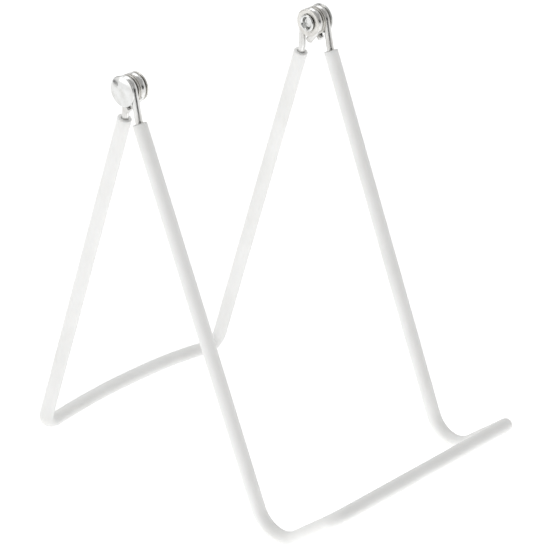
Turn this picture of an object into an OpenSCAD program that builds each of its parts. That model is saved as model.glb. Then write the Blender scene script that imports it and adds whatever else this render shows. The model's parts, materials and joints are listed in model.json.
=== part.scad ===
// Folding display easel: two bent steel wires in soft white sleeves, hinged on two rivets.
// Millimetres. Z is up, the front is towards -Y, and X runs along the pivot axis.
// The origin is the middle of the footprint, on the table.

/* [Stance] */
// Height of the pivot axis above the table
pivot_height = 181.9; // [165:0.2:200]
// Lean of the front legs from vertical, degrees
front_lean = 22.3; // [16:0.1:28]
// Lean of the rear legs from vertical, degrees
rear_lean = 19; // [12:0.1:24]

/* [Front frame] */
// Half width between the front wire's centre lines at the pivot
front_half_top = 59; // [52:0.1:66]
// Half width between the front wire's centre lines at the knees
front_half_bottom = 57.3; // [52:0.1:66]
// How far the line of the front legs passes in front of the pivot axis
front_offset = 2.1; // [0.5:0.1:3.5]
// Length of the arms, from the knee to the ledge bar
arm_length = 46.4; // [35:0.2:60]
// Rise of the arms above level, degrees
arm_rise = 38; // [25:0.1:50]
// Centre-line radius of the knees
knee_bend = 14; // [10:0.5:18]
// Centre-line radius where the arms turn into the ledge bar
ledge_bend = 5.7; // [5:0.1:10]

/* [Rear frame] */
// Half width between the rear wire's centre lines at the foot corners
rear_half_bottom = 56.4; // [52:0.1:64]
// How far the line of the rear legs passes behind the pivot axis
rear_offset = 0.8; // [0.5:0.1:3.5]
// How far the middle of the foot bar is raised above its corners, along the frame
foot_arch = 5.9; // [3:0.1:8]
// Half length of the middle stretch of the foot bar, where it curves
foot_arch_half = 26; // [22:1:30]
// Centre-line radius of the curve in the foot bar
foot_curve = 220; // [120:10:240]
// Centre-line radius of the rear foot corners
foot_bend = 6.5; // [6:0.5:10]

/* [Wire and sleeve] */
// Diameter of the steel wire
wire_d = 3.175; // [3:0.025:3.2]
// Outer diameter of the soft sleeve
sleeve_d = 6.35; // [6:0.05:7]
// Bore of the sleeve where it grips the wire
sleeve_bore_d = 3.275; // [3.25:0.025:3.4]
// Diameter of the opened mouth at each sleeve end
sleeve_mouth_d = 4; // [3.6:0.1:5]
// Depth over which the mouth opens
sleeve_mouth_depth = 1; // [0.5:0.1:2]
// Distance from the pivot axis to the bend below each eye, along the leg
neck_length = 13.8; // [13:0.1:20]
// Centre-line radius of the bend below each eye
neck_bend = 9; // [8:1:14]
// Distance from that bend to the front sleeve's mouth
front_mouth_gap = 0.9; // [0.8:0.1:3]
// Distance from that bend to the rear sleeve's mouth
rear_mouth_gap = 2.4; // [0.8:0.1:4]

/* [Eyes] */
// How far the front wire wraps round the rivet, degrees
front_wrap = 216; // [190:1:230]
// Length of the straight tail of the front wire
front_tail = 7.4; // [4:0.1:8]
// How far the rear wire wraps round the rivet, degrees
rear_wrap = 218; // [190:1:230]
// Length of the straight tail of the rear wire
rear_tail = 7.5; // [4:0.1:8]

/* [Rivets and washers] */
// Diameter of the rivet's shank
shank_d = 6.35; // [6:0.05:6.5]
// Diameter of the rivet's domed head
head_d = 13.4; // [13:0.1:15]
// Thickness of the head's rim
head_rim = 0.7; // [0.5:0.1:1]
// Height of the dome above the rim
head_dome = 0.9; // [0.6:0.1:1.2]
// Depth of the hole in the rivet's tubular end
rivet_hole_depth = 2.2; // [2:0.1:7]
// Wall of the rivet's tubular end
rivet_wall = 0.85; // [0.7:0.05:1]
// How far the rolled lip stands proud of the last washer
lip_height = 1.2; // [1:0.1:1.6]
// Outer diameter of the rolled lip
lip_d = 7.8; // [7.6:0.1:8.6]
// Diameter of the two flat washers between the eyes
washer_d = 12.6; // [12:0.1:13.4]
// Thickness of each flat washer between the eyes
washer_t = 0.4; // [0.3:0.1:0.8]
// Height of the conical spring washer
spring_h = 0.6; // [0.5:0.1:1.1]
// Thickness of the conical spring washer
spring_t = 0.3; // [0.2:0.05:0.5]
// Diameter of the washer under the rolled lip
backing_d = 12.5; // [12:0.1:13.4]
// Thickness of the washer under the rolled lip
backing_t = 0.6; // [0.5:0.1:1]

/* [Hidden] */
$fn = 72;

wire_r = wire_d / 2;
sleeve_r = sleeve_d / 2;
shank_r = shank_d / 2;
run_gap = 0.05;         // working clearance round the shank and beside the eye that turns
washer_gap = 0.12;      // clearance of the washers' holes round the shank
bend_relief = 0.02;     // a bend is drawn a hair slimmer than the straights that it runs into
bend_overlap = 0.2;     // and runs this far into them
eye_bend = shank_r + run_gap + wire_r;

// Stack on the rivet, as distances from the middle of the easel along X, from outside to inside
head_face = front_half_top + wire_r + run_gap;
pack_outer = front_half_top - wire_r - run_gap;
spring_outer = pack_outer - washer_t;
spring_inner = spring_outer - spring_h;
pack_inner = spring_inner - washer_t;
rear_half_top = pack_inner - run_gap - wire_r;
backing_outer = rear_half_top - wire_r - run_gap;
backing_inner = backing_outer - backing_t;
lip_end = backing_inner - lip_height;

// Frames in side view, as [distance away from the pivot in the frame's own direction, height]
function along_leg(lean, offset, s) =
    [s * sin(lean) + offset * cos(lean), -s * cos(lean) + offset * sin(lean)];
function leg_length(lean, offset, corner_height) =
    (pivot_height - corner_height + offset * sin(lean)) / cos(lean);

// A rounded corner stops short of the sharp one. This is how short, square to the level
// between a side that rises at angle low and a side that rises at angle high.
function corner_lift(bend, low, high) = bend * (sin((high + low) / 2) / sin((high - low) / 2) - 1);

// The sleeves rest on the table at the rounded knees and at the rounded foot corners
knee_height = sleeve_r - corner_lift(knee_bend, arm_rise, 90 + front_lean);
front_leg = leg_length(front_lean, front_offset, knee_height);
knee = along_leg(front_lean, front_offset, front_leg);
ledge = knee + arm_length * [cos(arm_rise), sin(arm_rise)];

foot_slope = atan(foot_arch / (rear_half_bottom - foot_arch_half));
foot_splay = atan((rear_half_bottom - rear_half_top) / (pivot_height / cos(rear_lean) - neck_length));
foot_lift = corner_lift(foot_bend, foot_slope, 90 - foot_splay);
rear_leg = leg_length(rear_lean, rear_offset, sleeve_r - foot_lift * cos(rear_lean));
foot = along_leg(rear_lean, rear_offset, rear_leg);
foot_reach = foot.x - foot_lift * sin(rear_lean);
pivot_y = (ledge.x - foot_reach) / 2;

// Where the neck leaves the leg, and where it runs on to the eye
function neck_point(lean, offset) = along_leg(lean, offset, neck_length);
function eye_angle(lean, offset) = let (m = neck_point(lean, offset))
    atan2(m.y, m.x) + acos(eye_bend / norm(m));
function eye_start(lean, offset) = let (a = eye_angle(lean, offset))
    eye_bend * [cos(a), sin(a)];

function unit(v) = v / norm(v);
function spot(x, side) = [x, side.x, side.y];
function flipped(p) = [-p.x, p.y, p.z];
function both_sides(half) =
    concat([for (i = [len(half) - 1:-1:0]) flipped(half[i])], half);
function both_ends(half) = concat([for (i = [len(half) - 1:-1:0]) half[i]], half);

// Right half of each frame's centre line, from the cross bar up to the leg's top
front_half = [spot(front_half_bottom, ledge), spot(front_half_bottom, knee)];
front_bends = [ledge_bend, knee_bend];
foot_middle = along_leg(rear_lean, rear_offset, rear_leg - foot_arch);
rear_half = [spot(foot_arch_half, foot_middle), spot(rear_half_bottom, foot)];
rear_bends = [foot_curve, foot_bend];

function neck(half_top, lean, offset) =
    [spot(half_top, neck_point(lean, offset)), spot(half_top, eye_start(lean, offset))];
function mouth(half, half_top, lean, offset, gap) =
    let (m = spot(half_top, neck_point(lean, offset)), low = half[len(half) - 1])
    [m + gap * unit(low - m)];

// A round rod from one point to the next
module rod(a, b, r) {
    d = b - a;
    translate(a)
        rotate([0, acos(d.z / norm(d)), atan2(d.y, d.x)])
            cylinder(r = r, h = norm(d));
}

// How far before and after the corner b a bend of radius bend begins and ends
function turn(a, b, c) = acos(unit(b - a) * unit(c - b));
function setback(a, b, c, bend) = bend * tan(turn(a, b, c) / 2);

// The bend that rounds the corner b between a and c
module elbow(a, b, c, bend, r) {
    ahead = unit(b - a);
    axis = unit(cross(ahead, c - b));
    inward = cross(axis, ahead);
    centre = b - setback(a, b, c, bend) * ahead + bend * inward;
    extra = bend_overlap / bend * 180 / PI;
    multmatrix([[-inward.x, ahead.x, axis.x, centre.x],
                [-inward.y, ahead.y, axis.y, centre.y],
                [-inward.z, ahead.z, axis.z, centre.z]])
        rotate_extrude(angle = turn(a, b, c) + 2 * extra, start = -extra)
            translate([bend, 0])
                circle(r = r - bend_relief);
}

// A rod through all the points, with each corner rounded to its own bend radius
module bent_rod(points, bends, r) {
    last = len(points) - 1;
    for (i = [1:last - 1])
        elbow(points[i - 1], points[i], points[i + 1], bends[i - 1], r);
    for (i = [0:last - 1]) {
        d = unit(points[i + 1] - points[i]);
        before = i == 0 ? 0 : setback(points[i - 1], points[i], points[i + 1], bends[i - 1]);
        after = i == last - 1 ? 0
            : setback(points[i], points[i + 1], points[i + 2], bends[i]);
        rod(points[i] + before * d, points[i + 1] - after * d, r);
    }
}

// The loop round the rivet and the tail after it, at one end of a wire
module eye(x, start, wrap, tail) {
    extra = bend_overlap / eye_bend * 180 / PI;
    translate([x, 0, 0])
        rotate([90, 0, 90])
            rotate_extrude(angle = wrap + 2 * extra, start = start - extra)
                translate([eye_bend, 0])
                    circle(r = wire_r - bend_relief);
    end = start + wrap;
    tail_from = eye_bend * [cos(end), sin(end)];
    tail_to = tail_from + tail * [-sin(end), cos(end)];
    rod(spot(x, tail_from), spot(x, tail_to), wire_r);
}

module both_eyes(x, start, wrap, tail) {
    eye(x, start, wrap, tail);
    mirror([1, 0, 0]) eye(x, start, wrap, tail);
}

// A whole wire: cross bar, corners, legs, necks and eyes
module wire(half, bends, half_top, lean, offset, wrap, tail) {
    bent_rod(both_sides(concat(half, neck(half_top, lean, offset))),
             both_ends(concat(bends, [neck_bend])), wire_r);
    both_eyes(half_top, eye_angle(lean, offset), wrap, tail);
}

// The cone that opens one sleeve mouth, from the point start back down the leg towards low
module mouth_cone(start, low) {
    d = unit(low - start);
    past = 0.3;
    widen = (sleeve_mouth_d - sleeve_bore_d) / 2 / sleeve_mouth_depth;
    translate(start - past * d)
        rotate([0, acos(d.z), atan2(d.y, d.x)])
            cylinder(r1 = sleeve_mouth_d / 2 + past * widen,
                     r2 = sleeve_bore_d / 2 - past * widen,
                     h = sleeve_mouth_depth + 2 * past);
}

// A whole sleeve: a soft tube along the wire from one mouth to the other
module sleeve(half, bends, half_top, lean, offset, gap) {
    top = mouth(half, half_top, lean, offset, gap);
    past_top = mouth(half, half_top, lean, offset, gap - 0.5);
    low = half[len(half) - 1];
    difference() {
        bent_rod(both_sides(concat(half, top)), both_ends(bends), sleeve_r);
        bent_rod(both_sides(concat(half, past_top)), both_ends(bends), sleeve_bore_d / 2);
        mouth_cone(top[0], low);
        mirror([1, 0, 0]) mouth_cone(top[0], low);
    }
}

// Puts a frame drawn about the pivot axis in its place: the rear one faces back, the front one forward
module rear_place() {
    translate([0, pivot_y, pivot_height]) children();
}
module front_place() {
    translate([0, pivot_y, pivot_height]) mirror([0, 1, 0]) children();
}

module front_wire() {
    color([0.78, 0.79, 0.80])
        front_place()
            wire(front_half, front_bends, front_half_top, front_lean, front_offset,
                 front_wrap, front_tail);
}

module front_sleeve() {
    color([0.94, 0.94, 0.93])
        front_place()
            sleeve(front_half, front_bends, front_half_top, front_lean, front_offset,
                   front_mouth_gap);
}

module rear_wire() {
    color([0.78, 0.79, 0.80])
        rear_place()
            wire(rear_half, rear_bends, rear_half_top, rear_lean, rear_offset,
                 rear_wrap, rear_tail);
}

module rear_sleeve() {
    color([0.94, 0.94, 0.93])
        rear_place()
            sleeve(rear_half, rear_bends, rear_half_top, rear_lean, rear_offset,
                   rear_mouth_gap);
}

// Turns a piece drawn about the Z axis so that Z becomes the way out along the pivot axis
module on_pivot(side) {
    translate([0, pivot_y, pivot_height]) rotate([0, 90 * side, 0]) children();
}

// Semi-tubular rivet: domed head outside, shank, and a rolled lip round an open hole inside
module rivet() {
    hole_r = shank_r - rivet_wall;
    roll_r = lip_height / 2;
    roll_at = lip_d / 2 - roll_r;
    dome_r = (head_d * head_d / 4 + head_dome * head_dome) / (2 * head_dome);
    difference() {
        union() {
            intersection() {
                translate([0, 0, head_face]) cylinder(d = head_d, h = head_rim + head_dome);
                translate([0, 0, head_face + head_rim + head_dome - dome_r]) sphere(r = dome_r);
            }
            translate([0, 0, lip_end + roll_r])
                cylinder(r = shank_r, h = head_face - lip_end - roll_r + head_rim / 2);
            translate([0, 0, lip_end])
                rotate_extrude()
                    translate([roll_at, roll_r]) circle(r = roll_r);
            translate([0, 0, lip_end + roll_r])
                cylinder(r = roll_at, h = roll_r - 0.02);
        }
        translate([0, 0, lip_end - 1]) cylinder(r = hole_r, h = rivet_hole_depth + 1);
        translate([0, 0, lip_end - 0.01])
            cylinder(r1 = roll_at, r2 = hole_r - 0.05, h = roll_r * 1.6);
    }
}

// Flat washer between two distances along the pivot axis, with broken edges
module flat_washer(from, to, d) {
    edge = 0.12;
    hole_r = shank_r + washer_gap;
    rotate_extrude()
        polygon([[hole_r, from], [d / 2 - edge, from], [d / 2, from + edge],
                 [d / 2, to - edge], [d / 2 - edge, to], [hole_r, to]]);
}

// Conical spring washer: rim towards the middle of the easel, crown outwards
module spring_washer() {
    hole_r = shank_r + washer_gap;
    rim_r = washer_d / 2 - 0.4;
    rotate_extrude()
        polygon([[hole_r, spring_outer - spring_t], [rim_r, spring_inner],
                 [rim_r, spring_inner + spring_t], [hole_r, spring_outer]]);
}

steel = [0.74, 0.74, 0.73];
module left_rivet() { color(steel) on_pivot(-1) rivet(); }
module right_rivet() { color(steel) on_pivot(1) rivet(); }
module left_outer_washer() {
    color(steel) on_pivot(-1) flat_washer(spring_outer, pack_outer, washer_d);
}
module right_outer_washer() {
    color(steel) on_pivot(1) flat_washer(spring_outer, pack_outer, washer_d);
}
module left_spring_washer() { color(steel) on_pivot(-1) spring_washer(); }
module right_spring_washer() { color(steel) on_pivot(1) spring_washer(); }
module left_inner_washer() {
    color(steel) on_pivot(-1) flat_washer(pack_inner, spring_inner, washer_d);
}
module right_inner_washer() {
    color(steel) on_pivot(1) flat_washer(pack_inner, spring_inner, washer_d);
}
module left_backing_washer() {
    color(steel) on_pivot(-1) flat_washer(backing_inner, backing_outer, backing_d);
}
module right_backing_washer() {
    color(steel) on_pivot(1) flat_washer(backing_inner, backing_outer, backing_d);
}

front_wire();
front_sleeve();
rear_wire();
rear_sleeve();
left_rivet();
right_rivet();
left_outer_washer();
right_outer_washer();
left_spring_washer();
right_spring_washer();
left_inner_washer();
right_inner_washer();
left_backing_washer();
right_backing_washer();
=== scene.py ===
# %% [markdown]
# # A folding display easel
# The real easel is two lengths of steel wire, each bent to shape inside a soft white sleeve. They
# are hinged together on two rivets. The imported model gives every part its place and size, so it
# is loaded first and stays fixed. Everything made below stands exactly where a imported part
# stands.

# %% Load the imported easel
import bpy
import json
import math
from mathutils import Matrix, Vector


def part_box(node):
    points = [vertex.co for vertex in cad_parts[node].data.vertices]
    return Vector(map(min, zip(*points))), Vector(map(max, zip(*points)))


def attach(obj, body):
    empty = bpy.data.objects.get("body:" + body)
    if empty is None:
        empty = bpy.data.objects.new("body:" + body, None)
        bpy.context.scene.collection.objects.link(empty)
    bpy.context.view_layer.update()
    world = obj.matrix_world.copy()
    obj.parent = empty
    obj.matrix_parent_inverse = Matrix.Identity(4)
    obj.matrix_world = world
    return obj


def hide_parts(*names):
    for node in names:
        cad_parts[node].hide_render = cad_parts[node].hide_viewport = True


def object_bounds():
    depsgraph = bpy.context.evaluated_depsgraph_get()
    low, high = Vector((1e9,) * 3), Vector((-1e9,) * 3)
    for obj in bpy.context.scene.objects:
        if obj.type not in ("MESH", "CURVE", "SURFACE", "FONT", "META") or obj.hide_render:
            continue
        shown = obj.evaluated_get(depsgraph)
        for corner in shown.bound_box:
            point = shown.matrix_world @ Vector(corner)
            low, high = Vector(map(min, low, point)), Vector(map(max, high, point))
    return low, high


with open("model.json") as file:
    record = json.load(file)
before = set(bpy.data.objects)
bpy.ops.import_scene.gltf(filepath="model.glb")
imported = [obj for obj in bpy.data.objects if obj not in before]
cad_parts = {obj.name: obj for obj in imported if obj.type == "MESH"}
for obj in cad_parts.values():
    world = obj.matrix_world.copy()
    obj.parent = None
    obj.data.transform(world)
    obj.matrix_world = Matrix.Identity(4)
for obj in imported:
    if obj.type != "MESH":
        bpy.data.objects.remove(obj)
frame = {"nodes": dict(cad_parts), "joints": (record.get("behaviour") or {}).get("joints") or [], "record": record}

packed_low, packed_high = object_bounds()
print("parts in the packed easel:", len(frame["nodes"]))
print("its size in mm:", [round(v * 1000, 1) for v in packed_high - packed_low])

# %% [markdown]
# ## The sizes that drive the shape
# A wire maker would write down a few sizes: where the pivot is, how far each frame leans, how
# long the arms are, and the radius of each bend. The same few numbers drive the curves here. They
# are in millimetres, because that is how such a part is drawn, and are turned into metres once,
# at the end.

# %% Sizes of the two bent wires
# Of each frame: how far it leans, how far its leg's line passes from the pivot, half its width at
# the top and low down, how far its eye wraps, the tail after the eye, and how far below the neck's
# bend its sleeve begins
MM = 0.001
hinge = frame["joints"][0]
PIVOT = Vector(hinge["pos_m"])
pivot_height = PIVOT.z / MM

front = dict(lean=math.radians(22.3), offset=2.1, half_top=59.0, half_low=57.3,
             wrap=math.radians(216), tail=7.4, mouth_gap=0.9)
rear = dict(lean=math.radians(19.0), offset=0.8, half_low=56.4,
            wrap=math.radians(218), tail=7.5, mouth_gap=2.4)
arm_length, arm_rise = 46.4, math.radians(38.0)
knee_bend, ledge_bend = 14.0, 5.7
foot_arch, foot_arch_half, foot_curve, foot_bend = 5.9, 26.0, 220.0, 6.5
neck_length, neck_bend = 13.8, 9.0

wire_r, sleeve_r, bore_r = 3.175 / 2, 6.35 / 2, 3.275 / 2
mouth_r, mouth_depth = 3.34 / 2, 0.7
run_gap = 0.05           # working clearance beside a part that turns
print("pivot axis", round(pivot_height, 1), "mm above the table")

# %% Sizes of the pivot stack, from the head inwards
shank_r, shank_wall = 6.35 / 2, 0.85
head_r, head_rim, head_dome = 13.4 / 2, 0.7, 0.9
washer_r, washer_t, washer_gap = 12.6 / 2, 0.4, 0.12
spring_h, spring_t = 0.6, 0.3
backing_r, backing_t = 12.5 / 2, 0.6
lip_r, lip_height = 7.8 / 2, 1.2
hole_r, hole_depth = shank_r - shank_wall, 2.2
washer_hole_r = shank_r + washer_gap
eye_bend = shank_r + run_gap + wire_r     # radius of the wire's loop round the shank

# Where each part begins or ends, as a distance from the middle of the easel
head_face = front["half_top"] + wire_r + run_gap
head_top = head_face + head_rim + head_dome
pack_outer = front["half_top"] - wire_r - run_gap
spring_outer = pack_outer - washer_t
spring_inner = spring_outer - spring_h
pack_inner = spring_inner - washer_t
rear["half_top"] = pack_inner - run_gap - wire_r
backing_outer = rear["half_top"] - wire_r - run_gap
backing_inner = backing_outer - backing_t
lip_end = backing_inner - lip_height
packed_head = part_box("right_rivet")
print("rivet from", round(lip_end, 2), "to", round(head_top, 2),
      "mm; packed from", round(packed_head[0].x / MM, 2), "to", round(packed_head[1].x / MM, 2))

# %% [markdown]
# ## The line that each wire follows
# A bent wire is a line with rounded corners. Each frame is drawn in side view first, as a
# distance away from the pivot and a height, and then given its width. A rounded corner doesn't
# reach as low as the sharp one it replaces, and it is the rounded one that stands on the table.
# So each leg is made longer by exactly what the rounding takes off.

# %% Side view of the two frames
def along_leg(side, distance):
    """A point on the leg's line: how far it is from the pivot, sideways and up."""
    lean, offset = side["lean"], side["offset"]
    return Vector((distance * math.sin(lean) + offset * math.cos(lean),
                   -distance * math.cos(lean) + offset * math.sin(lean)))


def corner_lift(bend, low, high):
    """How much lower a sharp corner reaches than the rounded one."""
    return bend * (math.sin((high + low) / 2) / math.sin((high - low) / 2) - 1)


def leg_length(side, corner_height):
    """How far down the leg's line its sharp corner is."""
    drop = pivot_height - corner_height + side["offset"] * math.sin(side["lean"])
    return drop / math.cos(side["lean"])


upright = math.pi / 2
knee_lift = corner_lift(knee_bend, arm_rise, upright + front["lean"])
front_leg = leg_length(front, sleeve_r - knee_lift)
knee = along_leg(front, front_leg)
ledge = knee + arm_length * Vector((math.cos(arm_rise), math.sin(arm_rise)))

foot_slope = math.atan(foot_arch / (rear["half_low"] - foot_arch_half))
foot_splay = math.atan((rear["half_low"] - rear["half_top"])
                       / (pivot_height / math.cos(rear["lean"]) - neck_length))
foot_lift = corner_lift(foot_bend, foot_slope, upright - foot_splay)
rear_leg = leg_length(rear, sleeve_r - foot_lift * math.cos(rear["lean"]))
foot = along_leg(rear, rear_leg)
foot_middle = along_leg(rear, rear_leg - foot_arch)
print("front leg", round(front_leg, 1), "mm, rear leg", round(rear_leg, 1), "mm")


# %% Corners of each frame's right half, from the cross bar up to the eye
def spot(x, side_point):
    return Vector((x, side_point.x, side_point.y))


def neck_and_eye(side):
    """Where the neck starts to bend, and where it runs on to the eye."""
    low = along_leg(side, neck_length)
    start = math.atan2(low.y, low.x) + math.acos(eye_bend / low.length)
    return low, start


def eye_point(angle):
    return Vector((eye_bend * math.cos(angle), eye_bend * math.sin(angle)))


front["corners"] = [spot(front["half_low"], ledge), spot(front["half_low"], knee)]
front["bends"] = [ledge_bend, knee_bend]
rear["corners"] = [spot(foot_arch_half, foot_middle), spot(rear["half_low"], foot)]
rear["bends"] = [foot_curve, foot_bend]
for side in (front, rear):
    side["neck"], side["eye_start"] = neck_and_eye(side)
print("eyes begin at", [round(math.degrees(s["eye_start"]), 1) for s in (front, rear)], "degrees")

# %% [markdown]
# ## Rounding the corners
# Blender has bevelled curves, but a maker gives each bend its own radius, and later steps need to
# know which stretches are bent. So the rounded line is worked out here, corner by corner. Every
# point also carries a "pull": an arrow towards the inside of the bend, which grows to full
# strength in the middle of the bend and is nothing on the straights.

# %% A line with rounded corners
STEP = 3.0                   # spacing of points on the straights
ARC_STEP = math.radians(5)   # turn between two points in a bend
FEWEST_STEPS = 6             # in the slightest bend


def straight(points, start, end):
    """Adds the points of a straight stretch, without its two ends."""
    count = max(1, math.ceil((end - start).length / STEP))
    for i in range(1, count):
        points.append((start.lerp(end, i / count), Vector()))


def rounded_line(corners, bends):
    """Points along a line whose inner corners are rounded, each with its pull."""
    points = [(corners[0], Vector())]
    last = corners[0]
    for i, bend in enumerate(bends):
        a, b, c = corners[i:i + 3]
        ahead, after = (b - a).normalized(), (c - b).normalized()
        turn = ahead.angle(after)
        axis = ahead.cross(after).normalized()
        inward = axis.cross(ahead)
        begin = b - bend * math.tan(turn / 2) * ahead
        centre = begin + bend * inward
        straight(points, last, begin)
        steps = max(FEWEST_STEPS, math.ceil(turn / ARC_STEP))
        for k in range(steps + 1):
            arm = Matrix.Rotation(turn * k / steps, 3, axis) @ (-inward)
            points.append((centre + bend * arm, -arm * math.sin(math.pi * k / steps)))
        last = points[-1][0]
    straight(points, last, corners[-1])
    points.append((corners[-1], Vector()))
    return points


def mirrored(points):
    return [(Vector((-p.x, p.y, p.z)), Vector((-k.x, k.y, k.z))) for p, k in points]


def both_halves(half, bends, ends):
    """The whole line: left end, cross bar, right end."""
    corners = half + ends
    left = [Vector((-p.x, p.y, p.z)) for p in reversed(corners)]
    whole_bends = bends + [neck_bend] * (len(ends) - 1)
    return rounded_line(left + corners, whole_bends[::-1] + whole_bends)


square = [Vector((0, 0, 0)), Vector((20, 0, 0)), Vector((20, 20, 0))]
print("a square corner rounded to 10 mm takes", len(rounded_line(square, [10.0])), "points")


# %% Centre lines of the wires and of their sleeves
EYE_PULL = 0.5               # the pull in the eye, which is even all the way round


def eye_and_tail(side):
    """The loop round the rivet, and the straight tail after it."""
    x, start = side["half_top"], side["eye_start"]
    steps = math.ceil(side["wrap"] / ARC_STEP)
    points = []
    for k in range(1, steps + 1):
        angle = start + side["wrap"] * k / steps
        inward = -spot(0, eye_point(angle)).normalized()
        points.append((spot(x, eye_point(angle)), inward * EYE_PULL))
    end = start + side["wrap"]
    tip = eye_point(end) + side["tail"] * Vector((-math.sin(end), math.cos(end)))
    straight(points, points[-1][0], spot(x, tip))
    points.append((spot(x, tip), Vector()))
    return points


def wire_line(side):
    x = side["half_top"]
    ends = [spot(x, side["neck"]), spot(x, eye_point(side["eye_start"]))]
    body = both_halves(side["corners"], side["bends"], ends)
    loop = eye_and_tail(side)
    return mirrored(loop)[::-1] + body + loop


def sleeve_line(side):
    top = spot(side["half_top"], side["neck"])
    low = side["corners"][-1]
    mouth = top + side["mouth_gap"] * (low - top).normalized()
    return both_halves(side["corners"], side["bends"], [mouth])


# %% Put the four lines in their places
def placed(points, facing):
    """Moves a line from round the pivot to its place, in metres. Facing is -1 for the front."""
    return [(PIVOT + MM * Vector((p.x, facing * p.y, p.z)), Vector((k.x, facing * k.y, k.z)))
            for p, k in points]


def stops_along(points):
    """How far along the line each of its points is, in millimetres."""
    stops = [0.0]
    for a, b in zip(points, points[1:]):
        stops.append(stops[-1] + (b[0] - a[0]).length / MM)
    return stops


lines = {}
for frame_name, side, facing in (("front", front, -1), ("rear", rear, 1)):
    lines[frame_name + "_wire"] = placed(wire_line(side), facing)
    lines[frame_name + "_sleeve"] = placed(sleeve_line(side), facing)
for name, points in lines.items():
    print(name, "is", round(stops_along(points)[-1]), "mm long, drawn with", len(points), "points")

# %% [markdown]
# ## One Geometry Nodes tree for every round part
# Each part of this easel is round along some line: the sleeves and wires along a bent line, and
# the rivets and washers along the pivot axis. So one tree can make them all. It takes the line,
# and a section that says, in steps, how far along the line the surface is and how far out from
# it. It lays a grid over the two, one way along the section and the other way round the line. A
# lathe-like screw modifier would make the rivets but not the bent wires, and a bevelled curve
# would make the wires but not a sleeve with an open mouth, a wall and a bore.

# %% Small helpers for building node trees
def add_node(tree, kind, settings=None, **values):
    """Adds a node. Settings are its own options, and values its inputs, as numbers or sockets."""
    made = tree.nodes.new(kind)
    for key, value in (settings or {}).items():
        setattr(made, key, value)
    for key, value in values.items():
        place = int(key[1:]) if key[1:].isdigit() else key.replace("_", " ")
        target = made.inputs[place]
        if isinstance(value, bpy.types.NodeSocket):
            tree.links.new(value, target)
        else:
            target.default_value = value
    return made


def add_math(tree, operation, *values):
    return add_node(tree, "ShaderNodeMath", {"operation": operation},
                    **{f"i{n}": v for n, v in enumerate(values)}).outputs[0]


def add_vector_math(tree, operation, *values, output=0, **named):
    return add_node(tree, "ShaderNodeVectorMath", {"operation": operation},
                    **{f"i{n}": v for n, v in enumerate(values)}, **named).outputs[output]


def open_sockets(tree, wanted, direction):
    for name, kind, default in wanted:
        made = tree.interface.new_socket(name=name, in_out=direction, socket_type=kind)
        if default is not None:
            made.default_value = default


# %% First part of the tree: a flat grid, with a row for each step of the section
def own_position(tree):
    return tree.nodes.new("GeometryNodeInputPosition").outputs[0]


def lay_grid(tree, given):
    """The grid, and for each of its points the distance along, the radius and the angle round."""
    section = add_node(tree, "GeometryNodeObjectInfo", Object=given["Section"]).outputs["Geometry"]
    rows = add_node(tree, "GeometryNodeAttributeDomainSize", Geometry=section).outputs["Point Count"]
    grid = add_node(tree, "GeometryNodeMeshGrid", Size_X=1.0, Size_Y=1.0, Vertices_X=rows,
                    Vertices_Y=add_math(tree, "ADD", given["Sides"], 1)).outputs["Mesh"]
    from_corner = add_vector_math(tree, "ADD", own_position(tree), (0.5, 0.5, 0.0))
    share = add_node(tree, "ShaderNodeSeparateXYZ", Vector=from_corner).outputs
    last_row = add_math(tree, "SUBTRACT", rows, 1)
    row = add_math(tree, "ROUND", add_math(tree, "MULTIPLY", share["X"], last_row))
    step = add_node(tree, "GeometryNodeSampleIndex", {"data_type": "FLOAT_VECTOR"}, Geometry=section,
                    Value=own_position(tree), Index=row).outputs[0]
    step = add_node(tree, "ShaderNodeSeparateXYZ", Vector=step).outputs
    return grid, step["X"], step["Y"], add_math(tree, "MULTIPLY", share["Y"], math.tau)


# %% Second part: out from the line by the radius, and a little flatter in the bends
def wrap_round_line(tree, given, distance, radius, cosine, sine):
    """Each point's place on the smooth surface, and the way that is outwards there."""
    line = add_node(tree, "GeometryNodeObjectInfo", Object=given["Centre line"]).outputs["Geometry"]
    curve = add_node(tree, "GeometryNodeMeshToCurve", Mesh=line).outputs[0]
    pull = add_node(tree, "GeometryNodeInputNamedAttribute", {"data_type": "FLOAT_VECTOR"}, Name="pull")
    here = add_node(tree, "GeometryNodeSampleCurve",
                    {"data_type": "FLOAT_VECTOR", "mode": "LENGTH", "use_all_curves": True},
                    Curves=curve, Value=pull.outputs["Attribute"], Length=distance).outputs
    across = add_vector_math(tree, "CROSS_PRODUCT", here["Tangent"], here["Normal"])
    outward = add_vector_math(tree, "ADD",
                              add_vector_math(tree, "SCALE", here["Normal"], Scale=cosine),
                              add_vector_math(tree, "SCALE", across, Scale=sine))
    in_bend = add_vector_math(tree, "DOT_PRODUCT", outward, here["Value"], output=1)
    squash = add_math(tree, "MULTIPLY", add_math(tree, "POWER", in_bend, 2.0), given["Flatten in bends"])
    flattened = add_math(tree, "MULTIPLY", radius, add_math(tree, "SUBTRACT", 1.0, squash))
    smooth = add_vector_math(tree, "ADD", here["Position"],
                             add_vector_math(tree, "SCALE", outward, Scale=flattened))
    return smooth, outward


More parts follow.
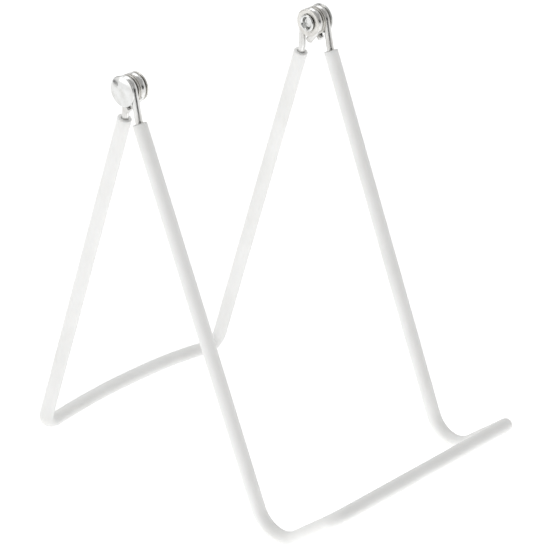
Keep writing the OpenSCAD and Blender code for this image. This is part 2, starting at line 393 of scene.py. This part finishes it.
# %% Third part: slow unevenness, as soft or drawn things have
def add_unevenness(tree, given, smooth, outward, radius):
    """Lifts and lowers the surface, except on the axis, where all the points of a row meet."""
    per_patch = add_math(tree, "DIVIDE", 1.0, given["Uneven patch size"])
    uneven = add_node(tree, "ShaderNodeTexNoise", {"noise_dimensions": "4D"},
                      Vector=add_vector_math(tree, "SCALE", smooth, Scale=per_patch),
                      W=given["Seed"], Scale=1.0, Detail=1.0).outputs[0]
    lift = add_math(tree, "MULTIPLY", add_math(tree, "SUBTRACT", uneven, 0.5), given["Unevenness"])
    off_axis = add_math(tree, "MINIMUM", add_math(tree, "MULTIPLY", radius, 1 / MM), 1.0)
    shift = add_vector_math(tree, "SCALE", outward, Scale=add_math(tree, "MULTIPLY", lift, off_axis))
    return add_vector_math(tree, "ADD", smooth, shift)


# %% The whole tree
WELD = 2e-6                  # points nearer than this, in metres, become one


def build_round_tree():
    tree = bpy.data.node_groups.new("Round part along a line", "GeometryNodeTree")
    open_sockets(tree, [("Geometry", "NodeSocketGeometry", None),
                        ("Centre line", "NodeSocketObject", None),
                        ("Section", "NodeSocketObject", None),
                        ("Sides", "NodeSocketInt", 32),
                        ("Flatten in bends", "NodeSocketFloat", 0.0),
                        ("Unevenness", "NodeSocketFloat", 0.0),
                        ("Uneven patch size", "NodeSocketFloat", 0.02),
                        ("Seed", "NodeSocketInt", 1),
                        ("Finish", "NodeSocketMaterial", None)], "INPUT")
    open_sockets(tree, [("Geometry", "NodeSocketGeometry", None)], "OUTPUT")
    given = tree.nodes.new("NodeGroupInput").outputs

    grid, distance, radius, angle = lay_grid(tree, given)
    cosine, sine = add_math(tree, "COSINE", angle), add_math(tree, "SINE", angle)
    smooth, outward = wrap_round_line(tree, given, distance, radius, cosine, sine)
    final = add_unevenness(tree, given, smooth, outward, radius)

    # Each point's place on a straight tube, so that a pattern can run along a bent one
    ring = add_node(tree, "ShaderNodeCombineXYZ", X=distance,
                    Y=add_math(tree, "MULTIPLY", cosine, sleeve_r * MM),
                    Z=add_math(tree, "MULTIPLY", sine, sleeve_r * MM)).outputs[0]
    marked = add_node(tree, "GeometryNodeStoreNamedAttribute", {"data_type": "FLOAT_VECTOR"},
                      Geometry=grid, Name="wrap", Value=ring).outputs[0]
    shaped = add_node(tree, "GeometryNodeSetPosition", Geometry=marked, Position=final).outputs[0]
    closed = add_node(tree, "GeometryNodeMergeByDistance", Geometry=shaped, Distance=WELD).outputs[0]
    soft = add_node(tree, "GeometryNodeSetShadeSmooth", Geometry=closed).outputs[0]
    real = add_node(tree, "GeometryNodeRealizeInstances", Geometry=soft).outputs[0]
    painted = add_node(tree, "GeometryNodeSetMaterial", Geometry=real,
                       Material=given["Finish"]).outputs[0]
    tree.links.new(painted, tree.nodes.new("NodeGroupOutput").inputs[0])
    return tree


round_tree = build_round_tree()
round_inputs = {item.name: item.identifier for item in round_tree.interface.items_tree
                if item.in_out == "INPUT"}
print("the round-part tree has", len(round_tree.nodes), "nodes and takes:", ", ".join(round_inputs))


# %% From the tree to a plain mesh
def chain_object(name, points, pulls=None):
    """A chain of points and edges, for the tree to read. It isn't part of the scene."""
    mesh = bpy.data.meshes.new(name)
    mesh.from_pydata(points, [(i, i + 1) for i in range(len(points) - 1)], [])
    if pulls:
        values = mesh.attributes.new("pull", "FLOAT_VECTOR", "POINT").data
        for value, pull in zip(values, pulls):
            value.vector = pull
    return bpy.data.objects.new(name, mesh)


def face_volume(mesh):
    """The volume that the faces enclose. It is negative when they point inwards."""
    mesh.calc_loop_triangles()
    corner = [v.co for v in mesh.vertices]
    return sum(corner[t.vertices[0]].dot(corner[t.vertices[1]].cross(corner[t.vertices[2]]))
               for t in mesh.loop_triangles) / 6


def make_round_part(name, line, section, finish, crease=40, **sizes):
    """Runs the tree once and keeps the result as a plain mesh. Crease is in degrees."""
    line_object = chain_object(name + "_line", [p for p, k in line], [k for p, k in line])
    section_object = chain_object(name + "_section", [(s * MM, r * MM, 0) for s, r in section])
    host = bpy.data.objects.new(name + "_host", bpy.data.meshes.new(name + "_host"))
    bpy.context.scene.collection.objects.link(host)
    modifier = host.modifiers.new("Round", "NODES")
    modifier.node_group = round_tree
    given = {"Centre line": line_object, "Section": section_object, "Finish": finish, **sizes}
    for label, value in given.items():
        modifier[round_inputs[label]] = value
    bpy.context.view_layer.update()
    graph = bpy.context.evaluated_depsgraph_get()
    mesh = bpy.data.meshes.new_from_object(host.evaluated_get(graph), depsgraph=graph)
    for spare in (host, line_object, section_object):
        bpy.data.objects.remove(spare)
    mesh.name = name
    if face_volume(mesh) < 0:
        mesh.flip_normals()
    mesh.set_sharp_from_angle(angle=math.radians(crease))
    part = bpy.data.objects.new(name, mesh)
    bpy.context.scene.collection.objects.link(part)
    volume = round(face_volume(mesh) / MM ** 3, 1)
    print(name, "has", len(mesh.polygons), "faces and", volume, "mm3")
    return part


# %% [markdown]
# ## Effects that several finishes share
# Three effects turn up on more than one material, so each is a small shader group with its own
# inputs. Drawing and extruding leave fine lines that run along a wire or a tube. Handling leaves
# faint dull patches. Edges that rub go brighter. A plain part looks real because of these, and
# looks like a drawing in a single flat colour. They are groups, and not parts of one big
# material, so that each finish can take the ones it needs at its own scale.

# %% Shader group: fine lines along a wire or tube
def build_drawn_lines():
    tree = bpy.data.node_groups.new("Drawn lines", "ShaderNodeTree")
    open_sockets(tree, [("Along", "NodeSocketFloat", 60.0),
                        ("Round", "NodeSocketFloat", 1500.0)], "INPUT")
    open_sockets(tree, [("Lines", "NodeSocketFloat", None)], "OUTPUT")
    given = tree.nodes.new("NodeGroupInput").outputs
    wrap = add_node(tree, "ShaderNodeAttribute", {"attribute_name": "wrap"}).outputs["Vector"]
    part = add_node(tree, "ShaderNodeSeparateXYZ", Vector=wrap).outputs
    stretched = add_node(tree, "ShaderNodeCombineXYZ",
                         X=add_math(tree, "MULTIPLY", part["X"], given["Along"]),
                         Y=add_math(tree, "MULTIPLY", part["Y"], given["Round"]),
                         Z=add_math(tree, "MULTIPLY", part["Z"], given["Round"])).outputs[0]
    noise = add_node(tree, "ShaderNodeTexNoise", Vector=stretched, Scale=1.0, Detail=4.0,
                     Roughness=0.6)
    tree.links.new(noise.outputs["Fac"], tree.nodes.new("NodeGroupOutput").inputs[0])
    return tree


drawn_lines = build_drawn_lines()
print("made the group", drawn_lines.name, "with", len(drawn_lines.nodes), "nodes")


# %% Shader group: faint dull patches and specks from handling
def build_handling():
    tree = bpy.data.node_groups.new("Handling marks", "ShaderNodeTree")
    open_sockets(tree, [("Patch scale", "NodeSocketFloat", 60.0),
                        ("Speck scale", "NodeSocketFloat", 900.0),
                        ("Specks", "NodeSocketFloat", 0.5)], "INPUT")
    open_sockets(tree, [("Marks", "NodeSocketFloat", None),
                        ("Grain", "NodeSocketFloat", None)], "OUTPUT")
    given = tree.nodes.new("NodeGroupInput").outputs
    place = tree.nodes.new("ShaderNodeTexCoord").outputs["Object"]
    patches = add_node(tree, "ShaderNodeTexNoise", Vector=place, Scale=given["Patch scale"],
                       Detail=3.0)
    grain = add_node(tree, "ShaderNodeTexNoise", Vector=place, Scale=given["Speck scale"],
                     Detail=5.0, Roughness=0.65)
    wide = add_node(tree, "ShaderNodeMapRange", Value=patches.outputs["Fac"],
                    From_Min=0.42, From_Max=0.68)
    fine = add_node(tree, "ShaderNodeMapRange", Value=grain.outputs["Fac"],
                    From_Min=0.55, From_Max=0.75)
    specks = add_math(tree, "MULTIPLY", fine.outputs[0], given["Specks"])
    both = add_math(tree, "MINIMUM", add_math(tree, "ADD", wide.outputs[0], specks), 1.0)
    out = tree.nodes.new("NodeGroupOutput")
    tree.links.new(both, out.inputs["Marks"])
    tree.links.new(grain.outputs["Fac"], out.inputs["Grain"])
    return tree


handling = build_handling()
print("made the group", handling.name, "with", len(handling.nodes), "nodes")


# %% Shader group: edges rubbed bright
def build_edge_wear():
    tree = bpy.data.node_groups.new("Edge wear", "ShaderNodeTree")
    open_sockets(tree, [("Start", "NodeSocketFloat", 0.52), ("Full", "NodeSocketFloat", 0.62),
                        ("Break up", "NodeSocketFloat", 400.0)], "INPUT")
    open_sockets(tree, [("Edge", "NodeSocketFloat", None)], "OUTPUT")
    given = tree.nodes.new("NodeGroupInput").outputs
    pointed = tree.nodes.new("ShaderNodeNewGeometry").outputs["Pointiness"]
    ramp = add_node(tree, "ShaderNodeMapRange", Value=pointed,
                    From_Min=given["Start"], From_Max=given["Full"])
    place = tree.nodes.new("ShaderNodeTexCoord").outputs["Object"]
    broken = add_node(tree, "ShaderNodeTexNoise", Vector=place, Scale=given["Break up"], Detail=2.0)
    rubbed = add_math(tree, "MULTIPLY", ramp.outputs[0], broken.outputs["Fac"])
    tree.links.new(rubbed, tree.nodes.new("NodeGroupOutput").inputs[0])
    return tree


edge_wear = build_edge_wear()
print("made the group", edge_wear.name, "with", len(edge_wear.nodes), "nodes")


# %% Small helpers for materials
def new_finish(name, **constants):
    """A material with a Principled shader whose plain numbers are set on its own sockets."""
    finish = bpy.data.materials.new(name)
    finish.use_nodes = True
    shader = finish.node_tree.nodes["Principled BSDF"]
    for key, value in constants.items():
        shader.inputs[key.replace("_", " ")].default_value = value
    return finish, finish.node_tree, shader


def use_group(tree, group, **values):
    made = tree.nodes.new("ShaderNodeGroup")
    made.node_tree = group
    for key, value in values.items():
        made.inputs[key.replace("_", " ")].default_value = value
    return made.outputs


def between(tree, share, low, high):
    """A number that goes from low to high as share goes from 0 to 1."""
    return add_node(tree, "ShaderNodeMapRange", Value=share, To_Min=low, To_Max=high).outputs[0]


def blend_colours(tree, share, first, second):
    mix = add_node(tree, "ShaderNodeMix", {"data_type": "RGBA"})
    colours = [s for s in mix.inputs if s.type == "RGBA"]
    for target, colour in zip(colours, (first, second)):
        if isinstance(colour, bpy.types.NodeSocket):
            tree.links.new(colour, target)
        else:
            target.default_value = (*colour, 1.0)
    tree.links.new(share, mix.inputs[0])
    return next(s for s in mix.outputs if s.type == "RGBA")


def add_bump(tree, shader, height, depth, strength):
    """Puts a height into the shader's normal. Depth is in metres."""
    bump = add_node(tree, "ShaderNodeBump", Height=height, Distance=depth, Strength=strength)
    tree.links.new(bump.outputs[0], shader.inputs["Normal"])


# %% [markdown]
# ## Finish of the sleeves: soft white vinyl
# The sleeve is an extruded vinyl tube, white with a satin surface. Light goes a little way into
# it, which softens the step from light to shade. Extrusion leaves faint lines along its length,
# and its surface has a very fine grain. Lines and grain go into the bump and the roughness, and
# marks from handling make some patches a touch greyer.

# %% Make the vinyl
def make_vinyl():
    finish, tree, shader = new_finish("White soft vinyl", IOR=1.5, Subsurface_Weight=0.18,
                                      Subsurface_Radius=(1.0, 0.95, 0.9), Subsurface_Scale=0.0012)
    lines = use_group(tree, drawn_lines, Along=25.0, Round=1300.0)["Lines"]
    marks = use_group(tree, handling, Patch_scale=45.0, Speck_scale=1400.0, Specks=0.25)
    clean, handled = (0.885, 0.885, 0.875), (0.845, 0.845, 0.83)
    tree.links.new(blend_colours(tree, marks["Marks"], clean, handled), shader.inputs["Base Color"])
    sheen = add_math(tree, "ADD", between(tree, lines, 0.36, 0.5),
                     between(tree, marks["Marks"], 0.0, 0.08))
    tree.links.new(sheen, shader.inputs["Roughness"])
    line_share, grain_share = 0.6, 0.5
    height = add_math(tree, "ADD", add_math(tree, "MULTIPLY", lines, line_share),
                      add_math(tree, "MULTIPLY", marks["Grain"], grain_share))
    add_bump(tree, shader, height, depth=0.03 * MM, strength=0.5)
    return finish


vinyl = make_vinyl()
print("made", vinyl.name)

# %% [markdown]
# ## Finishes of the metal: bright wire, nickel rivets, zinc washers
# All three are polished or plated steel, and differ in how they were made. The wire was drawn
# through a die, so its lines run along it. The rivets are nickel plated after forming, so they
# are the smoothest. The washers are stamped and zinc plated, which leaves them a little duller
# and warmer.

# %% Make the wire's finish
def make_wire_finish():
    finish, tree, shader = new_finish("Bright drawn steel wire", Metallic=1.0, IOR=2.5)
    lines = use_group(tree, drawn_lines, Along=40.0, Round=4200.0)["Lines"]
    marks = use_group(tree, handling, Patch_scale=120.0, Speck_scale=2600.0, Specks=0.4)
    clean, dull = (0.71, 0.71, 0.70), (0.6, 0.59, 0.57)
    tree.links.new(blend_colours(tree, marks["Marks"], clean, dull), shader.inputs["Base Color"])
    sheen = add_math(tree, "ADD", between(tree, lines, 0.1, 0.24),
                     between(tree, marks["Marks"], 0.0, 0.1))
    tree.links.new(sheen, shader.inputs["Roughness"])
    add_bump(tree, shader, lines, depth=0.012 * MM, strength=0.6)
    return finish


bright_wire = make_wire_finish()
print("made", bright_wire.name)

# %% Make the two platings
RUBBED = 1.08                # how much brighter a rubbed edge is than the clean metal


def make_plated(name, clean, dull, sheen, grain_scale, depth):
    """A plated metal. Sheen is its roughness where it is clean, and where it is marked."""
    finish, tree, shader = new_finish(name, Metallic=1.0, IOR=2.5)
    marks = use_group(tree, handling, Patch_scale=260.0, Speck_scale=grain_scale, Specks=0.6)
    edge = use_group(tree, edge_wear, Start=0.52, Full=0.6, Break_up=700.0)["Edge"]
    tone = blend_colours(tree, marks["Marks"], clean, dull)
    rubbed = tuple(min(1.0, c * RUBBED) for c in clean)
    tree.links.new(blend_colours(tree, edge, tone, rubbed), shader.inputs["Base Color"])
    tree.links.new(between(tree, marks["Marks"], *sheen), shader.inputs["Roughness"])
    add_bump(tree, shader, marks["Grain"], depth, strength=0.5)
    return finish


nickel = make_plated("Nickel plate", clean=(0.72, 0.725, 0.72), dull=(0.63, 0.63, 0.615),
                     sheen=(0.08, 0.24), grain_scale=1500.0, depth=0.01 * MM)
zinc = make_plated("Zinc plate", clean=(0.69, 0.68, 0.65), dull=(0.57, 0.555, 0.53),
                   sheen=(0.2, 0.38), grain_scale=2200.0, depth=0.02 * MM)
print("made", nickel.name, "and", zinc.name)


# %% [markdown]
# ## The wires
# Each wire is one piece from tail to tail. It is round and solid, and both its ends were cut with
# a shear and lightly deburred, so the section starts on the axis, steps out past a small chamfer,
# runs the whole length and closes in the same way.

# %% Section of a solid wire
# Every section is a list of steps: how far along the line, and how far out from it, in millimetres
CHAMFER = 0.22               # broken edge of a cut end
ROW_GAP = 0.05               # least distance from the chamfer to the next row of faces


def wire_section(line):
    stops = stops_along(line)
    end, clear = stops[-1], CHAMFER + ROW_GAP
    middle = [(s, wire_r) for s in stops if clear < s < end - clear]
    start = [(0, 0), (0, wire_r - CHAMFER), (CHAMFER * 0.3, wire_r - CHAMFER * 0.35),
             (CHAMFER, wire_r)]
    return start + middle + [(end - s, r) for s, r in reversed(start)]


print("the front wire's section has", len(wire_section(lines["front_wire"])), "steps")

# %% Make the two wires
wire_looks = {"Sides": 28, "Flatten in bends": 0.015, "Unevenness": 0.03 * MM,
              "Uneven patch size": 12 * MM}
parts = {}
for name, seed in (("front_wire", 3), ("rear_wire", 4)):
    line = lines[name]
    parts[name] = make_round_part(name + "_bent", line, wire_section(line), bright_wire,
                                  Seed=seed, **wire_looks)

# %% [markdown]
# ## The sleeves
# A sleeve is a tube, so its section is a closed loop: along the outside, over the cut lip, back
# through the bore and over the other lip. The bore opens a little towards each mouth, where the
# tube has stretched, and the lips are soft. In the bends the tube is squeezed and goes slightly
# oval. The outside is not perfectly even either, which is what makes light run along it in a
# natural way.

# %% Section of an open sleeve
# One lip, from the bore, through the opened mouth and over the cut face, to the outside
widening = [(mouth_depth + 1.2, bore_r), (mouth_depth, bore_r + 0.01),
            (mouth_depth * 0.6, bore_r + 0.02), (0.3, mouth_r - 0.01), (0.1, mouth_r)]
cut_face = [(0.0, mouth_r + 0.06), (0.0, sleeve_r - 0.5)]
soft_edge = [(0.06, sleeve_r - 0.2), (0.2, sleeve_r - 0.06), (0.45, sleeve_r)]
lip = widening + cut_face + soft_edge
CLEAR_OUTSIDE, CLEAR_INSIDE = 0.8, mouth_depth + 2     # where the rows beyond the lip may begin


def sleeve_section(line):
    stops = stops_along(line)
    end = stops[-1]
    outside = [(s, sleeve_r) for s in stops if CLEAR_OUTSIDE < s < end - CLEAR_OUTSIDE]
    bore = [(s, bore_r) for s in reversed(stops) if CLEAR_INSIDE < s < end - CLEAR_INSIDE]
    return lip + outside + [(end - s, r) for s, r in reversed(lip)] + bore + lip[:1]


print("each lip of a sleeve has", len(lip), "steps")

# %% Make the two sleeves
sleeve_looks = {"Sides": 40, "Flatten in bends": 0.035, "Unevenness": 0.14 * MM,
                "Uneven patch size": 16 * MM}
for name, seed in (("front_sleeve", 7), ("rear_sleeve", 8)):
    line = lines[name]
    parts[name] = make_round_part(name + "_vinyl", line, sleeve_section(line), vinyl,
                                  Seed=seed, **sleeve_looks)

# %% [markdown]
# ## Rivets and washers
# These are turned shapes on the pivot axis, so they use the same tree with a straight line.
# Distances run outwards along the axis from the rivet's rolled lip. Each rivet has a low domed
# head outside and a hollow end inside, which was rolled over the last washer to close the pivot.
# Between the two wire eyes sit two flat washers with a conical spring washer squeezed between
# them, and one more flat washer lies under the rolled lip.

# %% Section of the rivet
def arc(centre_s, centre_r, radius, first, last, steps):
    """Points of an arc in the section, by angle from the axis direction, in degrees."""
    angles = [math.radians(first + (last - first) * k / steps) for k in range(steps + 1)]
    return [(centre_s + radius * math.cos(a), centre_r + radius * math.sin(a)) for a in angles]


HOLE_FILLET, SHANK_FILLET, RIM_ROUND, RIM_EDGE, DOME_INSET = 0.5, 0.25, 0.2, 0.12, 0.15
LIP_FLARE, LIP_NECK, LIP_CLEAR = 0.02, 0.62, 0.1
ROLL_FROM, ROLL_STEPS, DOME_STEPS = 235, 18, 22


def hollow_end():
    """The bottom of the hole, its wall, and the roll that closes the pivot."""
    roll_r = lip_height / 2
    fillet_s, fillet_r = hole_depth - HOLE_FILLET, hole_r - HOLE_FILLET
    hole = [(hole_depth, 0), (hole_depth, fillet_r)]
    hole += arc(fillet_s, fillet_r, HOLE_FILLET, 0, 90, 4)
    funnel = [(roll_r * 1.5, hole_r + LIP_FLARE)]
    roll = arc(roll_r, lip_r - roll_r, roll_r, ROLL_FROM, 0, ROLL_STEPS)
    return hole + funnel + roll + [(roll_r + LIP_NECK, shank_r + LIP_FLARE)]


def domed_head(face):
    """The underside of the head, its rounded rim and its low dome."""
    dome_r = (head_r ** 2 + head_dome ** 2) / (2 * head_dome)
    top = face + head_rim + head_dome
    under = [(face - SHANK_FILLET, shank_r), (face, shank_r + SHANK_FILLET),
             (face, head_r - RIM_ROUND)]
    rim = arc(face + RIM_ROUND, head_r - RIM_ROUND, RIM_ROUND, 180, 90, 4)[1:]
    dome_from = math.degrees(math.asin((head_r - DOME_INSET) / dome_r))
    dome = arc(top - dome_r, 0, dome_r, dome_from, 0, DOME_STEPS)
    return under + rim + [(face + head_rim - RIM_EDGE, head_r)] + dome


shank = [(lip_height + LIP_CLEAR, shank_r)]
rivet_section = hollow_end() + shank + domed_head(head_face - lip_end)
print("the rivet's section has", len(rivet_section), "steps")


# %% Section of a flat washer
CRISP, PUNCHED, BORE_ROUND, BORE_CHAMFER = 0.05, 0.16, 0.1, 0.08


def flat_section(thickness, radius, hole):
    """A stamped washer: one edge rounded over by the punch, the other crisp."""
    loop = [(0, hole + BORE_CHAMFER), (0, radius - CRISP)]
    loop += arc(CRISP, radius - CRISP, CRISP, 180, 90, 2)[1:]
    loop += arc(thickness - PUNCHED, radius - PUNCHED, PUNCHED, 90, 0, 4)
    loop += [(thickness, hole + BORE_ROUND)]
    loop += arc(thickness - BORE_ROUND, hole + BORE_ROUND, BORE_ROUND, 0, -90, 3)[1:]
    loop += [(BORE_CHAMFER, hole)]
    return loop + loop[:1]


flat = flat_section(washer_t, washer_r, washer_hole_r)
backing = flat_section(backing_t, backing_r, washer_hole_r)
print("a flat washer's section has", len(flat), "steps")

# %% Section of the conical spring washer
SPRING_INSET, SPRING_EDGE, SPRING_BREAK = 0.4, 0.06, 0.02


def spring_section():
    """A shallow cone: its rim is towards the middle of the easel, its crown outwards."""
    rim_r = washer_r - SPRING_INSET
    loop = [(spring_h - spring_t, washer_hole_r), (0, rim_r - 4 * SPRING_BREAK),
            (0, rim_r - SPRING_BREAK), (SPRING_EDGE, rim_r), (spring_t - SPRING_EDGE, rim_r),
            (spring_t, rim_r - 2 * SPRING_BREAK), (spring_h, washer_hole_r + SPRING_EDGE),
            (spring_h - SPRING_EDGE, washer_hole_r)]
    return loop + loop[:1]


print("the spring washer is", spring_h, "mm high and", spring_t, "mm thick")


# %% Make the pivot parts, once on each side
AXIS_POINTS = 9
RIVET_SIDES, WASHER_SIDES = 96, 80


def axis_line(side, inner, outer):
    """A straight line outwards along the pivot axis. Side is -1 for the left, 1 for the right."""
    start = Vector((side * inner * MM, PIVOT.y, PIVOT.z))
    end = Vector((side * outer * MM, PIVOT.y, PIVOT.z))
    return [(start.lerp(end, k / (AXIS_POINTS - 1)), Vector()) for k in range(AXIS_POINTS)]


stack = [("rivet", lip_end, head_top, rivet_section, nickel, RIVET_SIDES),
         ("outer_washer", spring_outer, pack_outer, flat, zinc, WASHER_SIDES),
         ("spring_washer", spring_inner, spring_outer, spring_section(), zinc, WASHER_SIDES),
         ("inner_washer", pack_inner, spring_inner, flat, zinc, WASHER_SIDES),
         ("backing_washer", backing_inner, backing_outer, backing, zinc, WASHER_SIDES)]
for side_name, side in (("left", -1), ("right", 1)):
    for part_name, inner, outer, section, finish, sides in stack:
        name = f"{side_name}_{part_name}"
        line = axis_line(side, inner, outer)
        parts[name] = make_round_part(name + "_turned", line, section, finish,
                                      crease=50, Sides=sides)

# %% [markdown]
# ## Fitting the pieces to the imported parts
# Each piece stands for one imported part and rides on the same body.

# %% Say what each piece stands for, and check that it is in its place
for body, nodes in frame["record"]["behaviour"]["bodies"].items():
    for node in nodes:
        piece = parts[node]
        corners = [Vector(c) for c in piece.bound_box]
        low = Vector(min(c[i] for c in corners) for i in range(3))
        high = Vector(max(c[i] for c in corners) for i in range(3))
        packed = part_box(node)
        off = max(max(abs(low[i] - packed[0][i]), abs(high[i] - packed[1][i])) for i in range(3))
        print(node, "rides on", body, "and is within", round(off / MM, 2), "mm of its packed box")
        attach(piece, body)
        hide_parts(node)

# %% [markdown]
# ## The studio
# The easel stands on a white table that glows a little, as a light table does, so white comes
# from below as well. A big lamp under a glass top would do the same, but a top that glows needs
# no second surface. It is one flat panel, far wider than the view, so that no edge of it shows.

# %% A dull material that glows, and a flat panel to wear it
def grey_colour(level):
    return (level, level, level, 1)


def glow_material(name, glow, strength, base):
    """A dull surface that glows. Glow and base are grey levels."""
    return new_finish(name, Base_Color=grey_colour(base), Roughness=0.9, Specular_IOR_Level=0.0,
                      Emission_Color=grey_colour(glow), Emission_Strength=strength)


def make_panel(name, centre, facing, width, height, material):
    """A flat panel that faces a point."""
    mesh = bpy.data.meshes.new(name)
    w, h = width / 2, height / 2
    mesh.from_pydata([(-w, -h, 0), (w, -h, 0), (w, h, 0), (-w, h, 0)], [], [(0, 1, 2, 3)])
    turn = (facing - centre).to_track_quat("Z", "Y").to_matrix().to_4x4()
    mesh.transform(Matrix.Translation(centre) @ turn)
    mesh.materials.append(material)
    panel = bpy.data.objects.new(name, mesh)
    bpy.context.scene.collection.objects.link(panel)
    return panel


# %% Make the table
TABLE_WIDTH = 60
POOL_CENTRE = (-0.01, -0.155, 0.0)
POOL_INNER, POOL_OUTER, POOL_GLOW = 0.09, 0.23, 1.34


def make_table_top():
    """A glowing top, brighter in a soft pool under the front bar."""
    made, tree, shader = glow_material("White table", glow=1.0, strength=0.95, base=0.3)
    place = tree.nodes.new("ShaderNodeTexCoord").outputs["Object"]
    away = add_vector_math(tree, "DISTANCE", place, POOL_CENTRE, output=1)
    pool = add_node(tree, "ShaderNodeMapRange", {"interpolation_type": "SMOOTHSTEP"}, Value=away,
                    From_Min=POOL_INNER, From_Max=POOL_OUTER, To_Min=1.0, To_Max=0.0).outputs[0]
    glow = blend_colours(tree, pool, grey_colour(1.0)[:3], grey_colour(POOL_GLOW)[:3])
    tree.links.new(glow, shader.inputs["Emission Color"])
    return made


table_top = make_table_top()
make_panel("table", Vector((0, 0, 0)), Vector((0, 0, 1)), TABLE_WIDTH, TABLE_WIDTH, table_top)
print("the table is", TABLE_WIDTH, "m wide, with its pool of light round", POOL_CENTRE)

# %% [markdown]
# ## Cards for the metal to reflect
# Polished metal shows its surroundings, and in an empty room it would be one even grey. So a few
# cards stand round the easel: bright ones make its highlights, and dark ones its thin black
# lines. Real cards would also throw light and shade on the sleeves. These show only in
# reflections, so they shape the shine and leave the shading alone.

# %% Make the reflection cards
aim = Vector((0, 0, packed_high.z * 0.6))
CARD_DISTANCE = 1.6


def direction(azimuth, elevation):
    """A unit vector from the easel, by compass angle (0 is the front) and height, in degrees."""
    a, e = math.radians(azimuth), math.radians(elevation)
    return Vector((math.sin(a) * math.cos(e), -math.cos(a) * math.cos(e), math.sin(e)))


def make_card(name, azimuth, elevation, width, height, grey, distance=CARD_DISTANCE):
    """A card that only reflections see."""
    material = glow_material(name, glow=grey, strength=1.0, base=0)[0]
    centre = aim + distance * direction(azimuth, elevation)
    card = make_panel(name, centre, aim, width, height, material)
    card.visible_camera = card.visible_diffuse = False
    card.visible_shadow = card.visible_transmission = False


# Name, azimuth, elevation, width, height and grey level
for card_row in (("card_front_dark", -18, 4, 1.6, 0.9, 0.02),
                 ("card_high_dark", 74, 44, 0.5, 0.14, 0.03),
                 ("card_left_dark", -144, -2.5, 0.13, 0.045, 0.25, 0.54),    # and its own distance
                 ("card_side_white", 88, 20, 1.5, 1.0, 0.95),
                 ("card_back_white", 150, 22, 2.4, 1.0, 0.95),
                 ("card_right_white", 45, 18, 1.0, 0.9, 0.9),
                 ("card_top_white", 100, 62, 1.4, 1.0, 0.85)):
    make_card(*card_row)

# %% [markdown]
# ## Room and lamps
# The room is dim and even, and only the view itself sees its backdrop as white. One soft lamp
# stands to the left and another hangs above, a little behind. Two large lamps close by give the
# tubes a slow step from light to shade, where a small or distant one would draw a hard line along
# them.

# %% Make the room
ROOM_LIGHT, BACKDROP = 0.48, 1.0


def make_room():
    """A soft room that lights the easel dimly, behind a white backdrop."""
    room = bpy.data.worlds.new("Soft room")
    room.use_nodes = True
    tree = room.node_tree
    sky = tree.nodes["Background"].inputs
    sky["Color"].default_value = (1.0, 1.0, 0.995, 1)
    seen = tree.nodes.new("ShaderNodeLightPath").outputs["Is Camera Ray"]
    strength = add_node(tree, "ShaderNodeMapRange", Value=seen, To_Min=ROOM_LIGHT, To_Max=BACKDROP)
    tree.links.new(strength.outputs[0], sky["Strength"])
    return room


bpy.context.scene.world = make_room()
print("room light", ROOM_LIGHT, "behind it a backdrop of", BACKDROP)


# %% Make the two soft lamps
def make_softbox(name, azimuth, elevation, distance, width, height, watts):
    data = bpy.data.lights.new(name, "AREA")
    data.shape, data.size, data.size_y, data.energy = "RECTANGLE", width, height, watts
    lamp = bpy.data.objects.new(name, data)
    lamp.location = aim + distance * direction(azimuth, elevation)
    lamp.rotation_mode = "QUATERNION"
    lamp.rotation_quaternion = direction(azimuth, elevation).to_track_quat("Z", "Y")
    bpy.context.scene.collection.objects.link(lamp)


make_softbox("soft_light_left", -114, 20, distance=0.7, width=0.6, height=0.5, watts=0.84)
make_softbox("soft_light_over", 165, 68, distance=1.5, width=1.4, height=1.0, watts=6.2)

# %% [markdown]
# ## The camera
# The camera stands to the left and a little above, well back and with a long lens, so that the
# two frames keep nearly parallel sides. It is placed by its angles round the easel, because they
# can be read off directly, where a plain position and rotation would hide them.

# %% Make the camera
def make_camera(azimuth, elevation, roll, distance, target, lens):
    back = direction(azimuth, elevation)
    level = Vector((math.cos(math.radians(azimuth)), math.sin(math.radians(azimuth)), 0))
    upward = back.cross(level)
    turn = math.radians(roll)
    side = math.cos(turn) * level + math.sin(turn) * upward
    up = math.cos(turn) * upward - math.sin(turn) * level
    data = bpy.data.cameras.new("camera")
    data.sensor_width, data.lens = 36.0, lens
    data.clip_start, data.clip_end = 0.05, 200.0
    camera = bpy.data.objects.new("camera", data)
    pose = Matrix((side, up, back)).transposed().to_4x4()
    pose.translation = target + distance * back
    camera.matrix_world = pose
    bpy.context.scene.collection.objects.link(camera)
    bpy.context.scene.camera = camera
    return camera


camera = make_camera(azimuth=-47.047, elevation=24.891, roll=-0.185, distance=1.232,
                     target=Vector((0.03056, PIVOT.y, 0.06753)), lens=179.04)
bpy.context.scene.view_settings.view_transform = "Standard"
print("camera at", [round(v, 3) for v in camera.matrix_world.translation])
